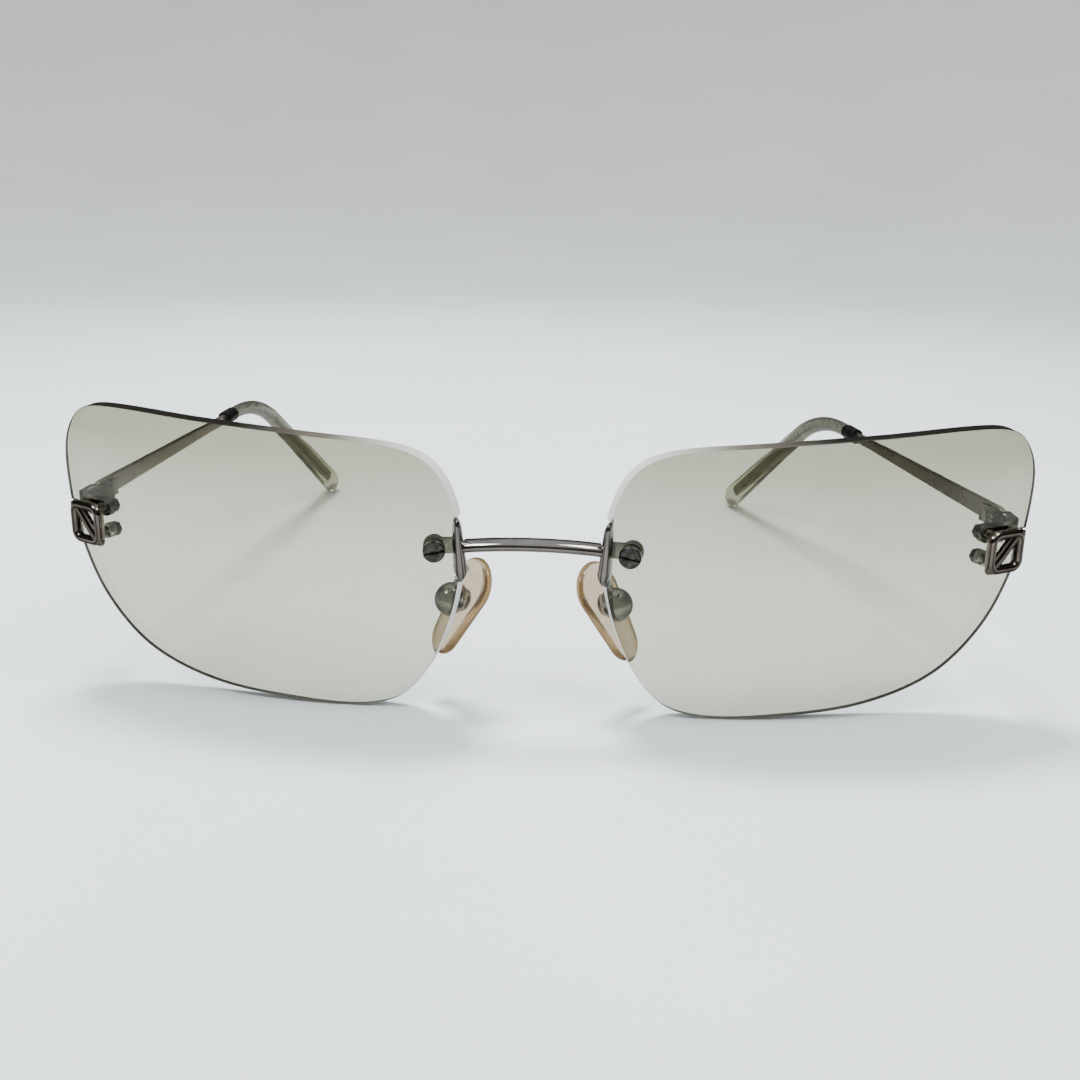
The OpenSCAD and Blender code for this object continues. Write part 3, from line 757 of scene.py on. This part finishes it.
def pad_box():
    """A polished ball with a flat rim, a slot for the lug and fine seams where it was folded."""
    steps, sides, edge_r, past = 40, 96, 0.05, BOX_R + 1
    rim_in, rim_y = 0.12, BOX_RIM + 0.06
    slot_x, slot_z, slot_floor, slot_mouth = 0.65, 1.7, -1.4, 5
    bore_r, bore_from, bore_to = 0.6, 1.6, 5
    seam, seam_turn, foot_seam_deep, back_seam_deep = 0.09, 6, 0.14, 0.16
    face = math.degrees(math.asin(BOX_RIM / BOX_R))
    profile = []
    for i in range(steps + 1):
        a = math.radians(-90 + (90 + face) * i / steps)
        profile.append((max(BOX_R * math.cos(a), 0), BOX_R * math.sin(a)))
    profile[0] = (0, -BOX_R)
    profile += [(profile[-1][0] - rim_in, rim_y), (0, rim_y)]
    foot_seam = block((-seam, -past, -past), (seam, past, foot_seam_deep - BOX_R))
    cutters = [
        block((-slot_x, slot_floor, -slot_z), (slot_x, slot_mouth, slot_z)),
        placed(rod(bore_r, bore_from, bore_to), turn("Z", -90)),
        placed(foot_seam, turn("Y", seam_turn)),
        block((-past, -past, -seam), (past, back_seam_deep - BOX_R, seam)),
    ]
    body = combine(lathe(profile, sides), cutters)
    round_edges(body, edge_r, 2, 45)
    pair("pad_box", body, pad_frame(), [BALL_CHROME], "front", ["pad_box"])


def nose_pad():
    """A teardrop of clear plastic with a crowned skin side, a dished back and an amber rim."""
    pad_top, low_share, thin_share, heart_up = 6.5, 0.67, 0.86, 0.6
    top_steps, low_steps, spacing = 48, 32, 0.5
    face_rings, rim_rings, ring_step, rim_normal = 8, 16, 0.1, 0.76
    rim_from, rim_width, rim_depth = 0.82, 0.18, 0.94
    back_depth, back_rise, crown = 0.72, 0.2, 0.06
    half = PAD_T / 2 * thin_share
    low_w = PAD_W * low_share
    top_z, low_z = pad_top - PAD_W / 2, pad_top - PAD_L + low_w / 2
    centre_x, middle_y = 0.8, PAD_BACK + half
    lean = math.asin((PAD_W - low_w) / 2 / (top_z - low_z))
    outline = []
    for i in range(top_steps + 1):
        a = -lean + (math.pi + 2 * lean) * i / top_steps
        outline.append((centre_x + PAD_W / 2 * math.cos(a), top_z + PAD_W / 2 * math.sin(a)))
    for i in range(low_steps + 1):
        a = math.pi + lean + (math.pi - 2 * lean) * i / low_steps
        outline.append((centre_x + low_w / 2 * math.cos(a), low_z + low_w / 2 * math.sin(a)))
    filled = []
    for i, (x, z) in enumerate(outline):
        next_x, next_z = outline[(i + 1) % len(outline)]
        pieces_between = max(1, round(math.hypot(next_x - x, next_z - z) / spacing))
        for k in range(pieces_between):
            share = k / pieces_between
            filled.append((x + (next_x - x) * share, z + (next_z - z) * share))
    heart_x, heart_z = centre_x, (top_z + low_z) / 2 + heart_up

    def ring(share, y):
        return [
            (heart_x + (x - heart_x) * share, y, heart_z + (z - heart_z) * share)
            for x, z in filled
        ]

    shares = [ring_step * k for k in range(1, face_rings + 1)]
    rings = [ring(share, middle_y - half * (back_depth + back_rise * share**2)) for share in shares]
    for k in range(rim_rings + 1):
        a = math.pi * (-0.5 + k / rim_rings)
        y = middle_y + half * rim_depth * math.sin(a)
        rings.append(ring(rim_from + rim_width * math.cos(a), y))
    for share in reversed(shares):
        rings.append(ring(share, middle_y + half * (rim_depth + crown * (1 - share**2))))
    back, front = middle_y - half * back_depth, middle_y + half
    body = skin(rings, (heart_x, back, heart_z), (heart_x, front, heart_z))
    for face in body.faces:
        if abs(face.normal.y) < rim_normal:
            face.material_index = 1
    pair("nose_pad", body, pad_frame(), [PAD, PAD_RIM], "{side}_pad", ["nose_pad"])


# ---- ornaments --------------------------------------------------------------------------

def ornament():
    """A plain square buckle of rounded bars, with one bar woven across its window."""
    bar_w, corner, corner_steps, off_lens = 1.35, 1.15, 12, 0.02
    frame_sides, frame_square, woven_sides, woven_square = 32, 0.92, 28, 0.95
    steps, woven_w, woven_thinner, woven_in, weave = 40, 1.7, 0.2, 0.1, 0.1
    diagonal, reach_share, end_power, end_least = 0.7071, 1.16, 10, 0.01
    hook_in, hook_l, hook_front, hook_back, hook_edge_r = 0.3, 1.08, -0.62, 1.18, 0.25
    post_r, post_in, post_past = 0.5, 0.3, 1.2
    half, depth = (ORNAMENT_W - bar_w) / 2, ORNAMENT_T
    middle = -off_lens - depth / 2
    path = rounded_rectangle(2 * half, 2 * half, corner, corner_steps)
    rings = []
    for i, (x, z) in enumerate(path):
        before, after = Vector(path[i - 1]), Vector(path[(i + 1) % len(path)])
        along = (after - before).normalized()
        out = Vector((along.y, -along.x))
        rings.append([
            (x + out.x * a, middle + b, z + out.y * a)
            for a, b in oval(bar_w, depth, frame_sides, frame_square)
        ])
    bm = bmesh.new()
    rows = [[bm.verts.new(point) for point in ring] for ring in rings]
    for i, row in enumerate(rows):
        band(bm, row, rows[(i + 1) % len(rows)])
    bmesh.ops.recalc_face_normals(bm, faces=bm.faces)

    reach = half * reach_share
    bar_rings = []
    for i in range(steps + 1):
        t = 2 * i / steps - 1
        squeeze = math.sqrt(max(1 - abs(t) ** end_power, end_least))
        lift = weave * math.sin(math.pi * t)
        woven_t = depth - woven_thinner
        section = oval(woven_w * squeeze, woven_t * squeeze, woven_sides, woven_square)
        bar_rings.append([
            (t * reach + a * diagonal, middle + woven_in + lift + b, t * reach - a * diagonal)
            for a, b in section
        ])
    parts = [skin(bar_rings)]
    hook_x = ORNAMENT_W / 2 - hook_in
    for z in HOOK_Z:
        low, high = (hook_x, hook_front, z - HOOK_W / 2), (hook_x + hook_l, hook_back, z + HOOK_W / 2)
        parts.append(round_edges(block(low, high), hook_edge_r, 4))
    for z in POST_Z:
        post = rod(post_r, -depth + post_in, NUT_Y + post_past, 32)
        parts.append(placed(post, shift(POST_X, 0, z)))
    body = combine(bm, parts, "UNION")
    pair("ornament", body, at_lens(ORNAMENT_AT), [DARK_CHROME], "front", ["ornament"], 38)


def post_nuts():
    """Two small nuts with six flats, rounded at both ends."""
    radius, flats, edge_r = 1.15, 6, 0.07
    foot, top = NUT_Y + 0.01, NUT_Y + 1.1
    body = None
    for z in POST_Z:
        nut = lathe([
            (0, foot), (radius - 0.1, foot), (radius, NUT_Y + 0.13), (radius, top - 0.16),
            (radius - 0.22, top), (0, top),
        ], flats)
        round_edges(nut, edge_r, 3, 20)
        nut.transform(shift(POST_X, 0, z))
        body = nut if body is None else combine(body, [nut], "UNION")
    pair("post_nuts", body, at_lens(ORNAMENT_AT), [NUT], "front", ["post_nuts"])


# ---- temples ----------------------------------------------------------------------------

BEND_L = BEND_R * math.radians(BAR_RISE + TIP_DROP)
RISE, DROP = math.radians(BAR_RISE), math.radians(TIP_DROP)
BEND_MID = Vector((
    BEND_START * math.cos(RISE) + BEND_R * math.sin(RISE),
    HINGE[2] + BEND_START * math.sin(RISE) - BEND_R * math.cos(RISE),
))
FOOT_R = TIP_END_W / 2
TIP_FROM = FERRULE_FROM + FERRULE_L
TIP_TO = BEND_START + BEND_L + (BEND_MID.y + BEND_R * math.cos(DROP) - FOOT_R) / math.sin(DROP)
CORE_TO = TIP_TO - 4
STRIP_X = LEAF_OUT + BAR_T / 2


def slope(length):
    share = min(max((length - BEND_START) / BEND_L, 0), 1)
    return RISE - (RISE + DROP) * share


def centre(length):
    """Distance and height of the temple's centre line at a length from the hinge."""
    if length < BEND_START:
        return Vector((length * math.cos(RISE), HINGE[2] + length * math.sin(RISE)))
    angle = slope(length)
    if length < BEND_START + BEND_L:
        return BEND_MID + BEND_R * Vector((-math.sin(angle), math.cos(angle)))
    straight = length - BEND_START - BEND_L
    return (
        BEND_MID + BEND_R * Vector((math.sin(DROP), math.cos(DROP)))
        + straight * Vector((math.cos(DROP), -math.sin(DROP)))
    )


def temple_ring(length, section):
    """A section of (x, across) points, set square to the centre line."""
    y, z = centre(length)
    angle = slope(length)
    return [
        (STRIP_X + x, y - across * math.sin(angle), z + across * math.cos(angle))
        for x, across in section
    ]


def temple():
    """The tapered bar and, past it, the flat core that runs on inside the tip."""
    bar_from, short_of_tip, edge_r = -0.3, 0.2, 0.17
    bar_steps, core_steps, eased_steps = 60, 40, 2
    ease_from, ease_by = 0.55, 0.45
    end_l, end_thinner, end_edge_r = 0.15, 0.3, 0.1
    rings = []
    for i in range(bar_steps + 1):
        share = i / bar_steps
        length = bar_from + (TIP_FROM - short_of_tip - bar_from) * share
        height = BAR_H + (BAR_END_H - BAR_H) * min((length - bar_from) / FERRULE_FROM, 1)
        ease = min(1, ease_from + ease_by * math.sqrt(min(share * bar_steps / eased_steps, 1)))
        section = rounded_rectangle(BAR_T, height * ease, edge_r * ease)
        rings.append(temple_ring(length, section))
    for i in range(core_steps + 1):
        length = TIP_FROM + (CORE_TO - TIP_FROM) * i / core_steps
        rings.append(temple_ring(length, rounded_rectangle(BAR_T, CORE_W, edge_r)))
    section = rounded_rectangle(BAR_T - end_thinner, CORE_W - end_thinner, end_edge_r)
    rings.append(temple_ring(CORE_TO + end_l, section))
    body = skin(rings)
    for face in body.faces:
        if face.calc_center_median().y > centre(TIP_FROM).x:
            face.material_index = 1
    pair("temple", body, temple_frame, [STEEL, CORE], "{side}_temple", ["temple"])


def ferrule():
    """A black collar with rounded ends and a shallow groove near the tip end."""
    radius, length = FERRULE_R, FERRULE_L
    start_r, end_r, groove_r = 0.22, 0.12, radius - 0.09
    groove = [length - back for back in (0.9, 0.82, 0.7, 0.62)]
    body = lathe([
        (0, 0), *arc((radius - start_r, start_r), start_r, -90, 0, 5), (radius, groove[0]),
        (groove_r, groove[1]), (groove_r, groove[2]), (radius, groove[3]),
        *arc((radius - end_r, length - end_r), end_r, 0, 90, 4), (0, length),
    ])
    start = centre(FERRULE_FROM)
    body.transform(shift(STRIP_X, start.x, start.y) @ turn("X", BAR_RISE))
    pair("ferrule", body, temple_frame, [COLLAR], "{side}_temple", ["ferrule"])


def temple_tip():
    """A clear tube that widens steadily, with a rounded end."""
    inside, sides, start_l, start_thinner = 0.97, 40, 0.08, 0.2
    tube_steps, end_steps, end_power, end_least = 90, 12, 0.95, 0.04
    rings = []

    def size(length):
        share = min(max((length - TIP_FROM) / (TIP_TO - TIP_FROM), 0), 1)
        wide, thick = TIP_END_W - TIP_START_W, TIP_END_T - TIP_START_W
        return (TIP_START_W + wide * share) * inside, (TIP_START_W + thick * share) * inside

    width, thick = size(TIP_FROM)
    rings.append(temple_ring(TIP_FROM, oval(thick - start_thinner, width - start_thinner, sides)))
    for i in range(tube_steps + 1):
        length = TIP_FROM + start_l + (TIP_TO - TIP_FROM - start_l) * i / tube_steps
        width, thick = size(length)
        rings.append(temple_ring(length, oval(thick, width, sides)))
    width, thick = size(TIP_TO)
    for i in range(1, end_steps + 1):
        a = math.pi / 2 * i / end_steps
        squeeze = max(math.cos(a) ** end_power, end_least)
        length = TIP_TO + FOOT_R * inside * math.sin(a)
        rings.append(temple_ring(length, oval(thick * squeeze, width * squeeze, sides)))
    pair("temple_tip", skin(rings), temple_frame, [TIP], "{side}_temple", ["temple_tip"])


# ---- small pieces refined from their CAD solids ------------------------------------------

def refined(node, material, rounding, body="front"):
    """The CAD solid with its facets joined, its edges rounded and its curves shaded smooth."""
    weld, flat, sharp, crease = 0.002, 1, 40, 34
    for side in SIDES:
        name = f"{node}_{side}"
        bm = bmesh.new()
        bm.from_mesh(frame["nodes"][name].data)
        bm.transform(Matrix.Scale(1 / MM, 4))
        bmesh.ops.remove_doubles(bm, verts=bm.verts, dist=weld)
        bmesh.ops.dissolve_limit(
            bm, angle_limit=math.radians(flat), verts=bm.verts, edges=bm.edges,
        )
        for face in bm.faces:
            face.material_index = 0
        if rounding:
            round_edges(bm, rounding, 2, sharp)
        piece(f"{name}_piece", bm, [material], body.format(side=side), [name], crease)


# ---- stage ------------------------------------------------------------------------------

def floor_and_backdrop():
    """A pale floor that curves up into a backdrop. Neither shows in mirrors."""
    floor_r, cove_r, top, sides, cove_steps = 0.6, 0.8, 2.0, 96, 24
    cool = ((0.75, 0.82, 0.86), (0.81, 0.88, 0.915))
    warm = ((0.92, 0.925, 0.90), (0.96, 0.965, 0.94))

    def ring(radius, z):
        return [
            (radius * math.cos(math.tau * i / sides), radius * math.sin(math.tau * i / sides), z)
            for i in range(sides)
        ]

    def sheet(name, rings, fill, material):
        bm = bmesh.new()
        rows = [[bm.verts.new(point) for point in row] for row in rings]
        if fill:
            bm.faces.new(rows[0])
        for low, high in zip(rows, rows[1:]):
            band(bm, low, high)
        mesh = bpy.data.meshes.new(name)
        bm.to_mesh(mesh)
        bm.free()
        mesh.shade_smooth()
        mesh.materials.append(material)
        obj = bpy.data.objects.new(name, mesh)
        bpy.context.scene.collection.objects.link(obj)
        return obj

    floor = sheet("floor", [ring(floor_r, 0)], True, pale_ground("pale_floor", cool))
    floor.visible_glossy = False
    angles = [math.pi / 2 * i / cove_steps for i in range(cove_steps + 1)]
    cove = [ring(floor_r + cove_r * math.sin(a), cove_r * (1 - math.cos(a))) for a in angles]
    cove.append(ring(floor_r + cove_r, top))
    backdrop = sheet("backdrop", cove, False, pale_ground("pale_backdrop", cool, warm))
    backdrop.visible_glossy = False
    backdrop.visible_diffuse = False
    backdrop.visible_shadow = False


def studio_world():
    """Soft light all round. Mirrored or through glass it is a room with dark strips instead."""
    strength = 0.82
    world = bpy.data.worlds.new("studio")
    bpy.context.scene.world = world
    world.use_nodes = True
    tree = world.node_tree
    nodes, links = tree.nodes, tree.links
    split = nodes.new("ShaderNodeSeparateXYZ")
    links.new(nodes.new("ShaderNodeTexCoord").outputs["Generated"], split.inputs["Vector"])

    def across(axis):
        share = nodes.new("ShaderNodeMapRange")
        share.inputs["From Min"].default_value = -1
        links.new(split.outputs[axis], share.inputs["Value"])
        return share.outputs["Result"]

    height = across("Z")
    soft = colour_ramp(tree, height, [
        (0.5, (0.58, 0.565, 0.54)), (0.75, (0.85, 0.83, 0.80)), (1.0, (1.04, 1.02, 0.99)),
    ])
    room = colour_ramp(tree, height, [
        (0.0, (0.60, 0.59, 0.57)), (0.25, (0.90, 0.89, 0.87)), (0.46, (1.30, 1.29, 1.27)),
        (0.505, (0.14, 0.125, 0.115)), (0.64, (0.05, 0.042, 0.036)), (0.80, (0.20, 0.19, 0.18)),
        (0.92, (0.95, 0.95, 0.94)),
    ])
    flags = colour_ramp(tree, across("X"), [
        (0.0, 0.9), (0.10, 0.2), (0.20, 0.2), (0.26, 1.0), (0.74, 1.0), (0.80, 0.2), (0.90, 0.2),
        (1.0, 0.9),
    ])
    flagged = nodes.new("ShaderNodeMix")
    flagged.data_type = "RGBA"
    flagged.blend_type = "MULTIPLY"
    flagged.inputs["Factor"].default_value = 1
    links.new(room, flagged.inputs["A"])
    links.new(flags, flagged.inputs["B"])
    ray = nodes.new("ShaderNodeLightPath")
    seen = nodes.new("ShaderNodeMath")
    seen.operation = "MAXIMUM"
    links.new(ray.outputs["Is Glossy Ray"], seen.inputs[0])
    links.new(ray.outputs["Is Transmission Ray"], seen.inputs[1])
    light = colour_mix(tree, seen.outputs[0], soft, flagged.outputs["Result"])
    links.new(light, nodes["Background"].inputs["Color"])
    nodes["Background"].inputs["Strength"].default_value = strength


def area_light(name, place, target, size, power, colour=(1, 1, 1), mirrored=True):
    """A rectangular light. mirrored says whether mirrors and glass show it."""
    data = bpy.data.lights.new(name, "AREA")
    data.shape = "RECTANGLE"
    data.size, data.size_y = size
    data.energy = power
    data.color = colour
    light = bpy.data.objects.new(name, data)
    light.location = place
    aim = Vector(target) - Vector(place)
    light.rotation_mode = "QUATERNION"
    light.rotation_quaternion = aim.to_track_quat("-Z", "Y")
    light.visible_camera = False
    light.visible_glossy = mirrored
    light.visible_transmission = mirrored
    bpy.context.scene.collection.objects.link(light)


def camera():
    """A close view from in front of and above the pair, a little towards its left."""
    height, back, aside = 0.07635, 0.2226, 0.0105
    pitch_down, yaw, roll = 17.0, 3.38, 0.83
    data = bpy.data.cameras.new("camera")
    data.sensor_width = 36
    data.lens = 39.87
    data.clip_start, data.clip_end = 0.01, 20
    obj = bpy.data.objects.new("camera", data)
    obj.matrix_world = (
        shift(aside, -back, height) @ turn("Z", yaw) @ turn("X", 90 - pitch_down) @ turn("Z", roll)
    )
    bpy.context.scene.collection.objects.link(obj)
    bpy.context.scene.camera = obj


# ---- the whole pair ---------------------------------------------------------------------

lens()
bridge_bar()
bridge_claw()
bridge_screw()
bridge_nut()
pad_arm()
pad_box()
nose_pad()
ornament()
post_nuts()
temple()
ferrule()
temple_tip()
refined("screw_sleeve", SLEEVE, 0)
refined("screw_washers", WASHER, 0.04)
refined("post_sleeves", SLEEVE, 0)
refined("post_washers", WASHER, 0.04)
refined("pad_screw", SMALL_SCREW, 0.03)
refined("pad_stud", STUD, 0.05, "{side}_pad")
refined("endpiece", HINGE_METAL, 0.12)
refined("hinge_front", HINGE_METAL, 0.06)
refined("hinge_rear", HINGE_METAL, 0.06, "{side}_temple")
refined("hinge_screw", SMALL_SCREW, 0.04)

floor_and_backdrop()
studio_world()
area_light("key", (-0.10, 0.18, 0.62), (0, 0, 0.01), (0.2, 0.14), 6.8, (0.965, 0.99, 1.0), False)
area_light("fill", (0.35, -0.35, 0.5), (0, -0.03, 0.02), (0.3, 0.3), 1.0, (0.96, 0.98, 1.0), False)
area_light("spark_right", (-0.24, -0.22, 0.4), (-0.05, -0.05, 0.02), (0.14, 0.14), 1.0)
area_light("spark_left", (0.16, -0.12, 0.45), (0.05, -0.05, 0.02), (0.14, 0.14), 0.9)
camera()
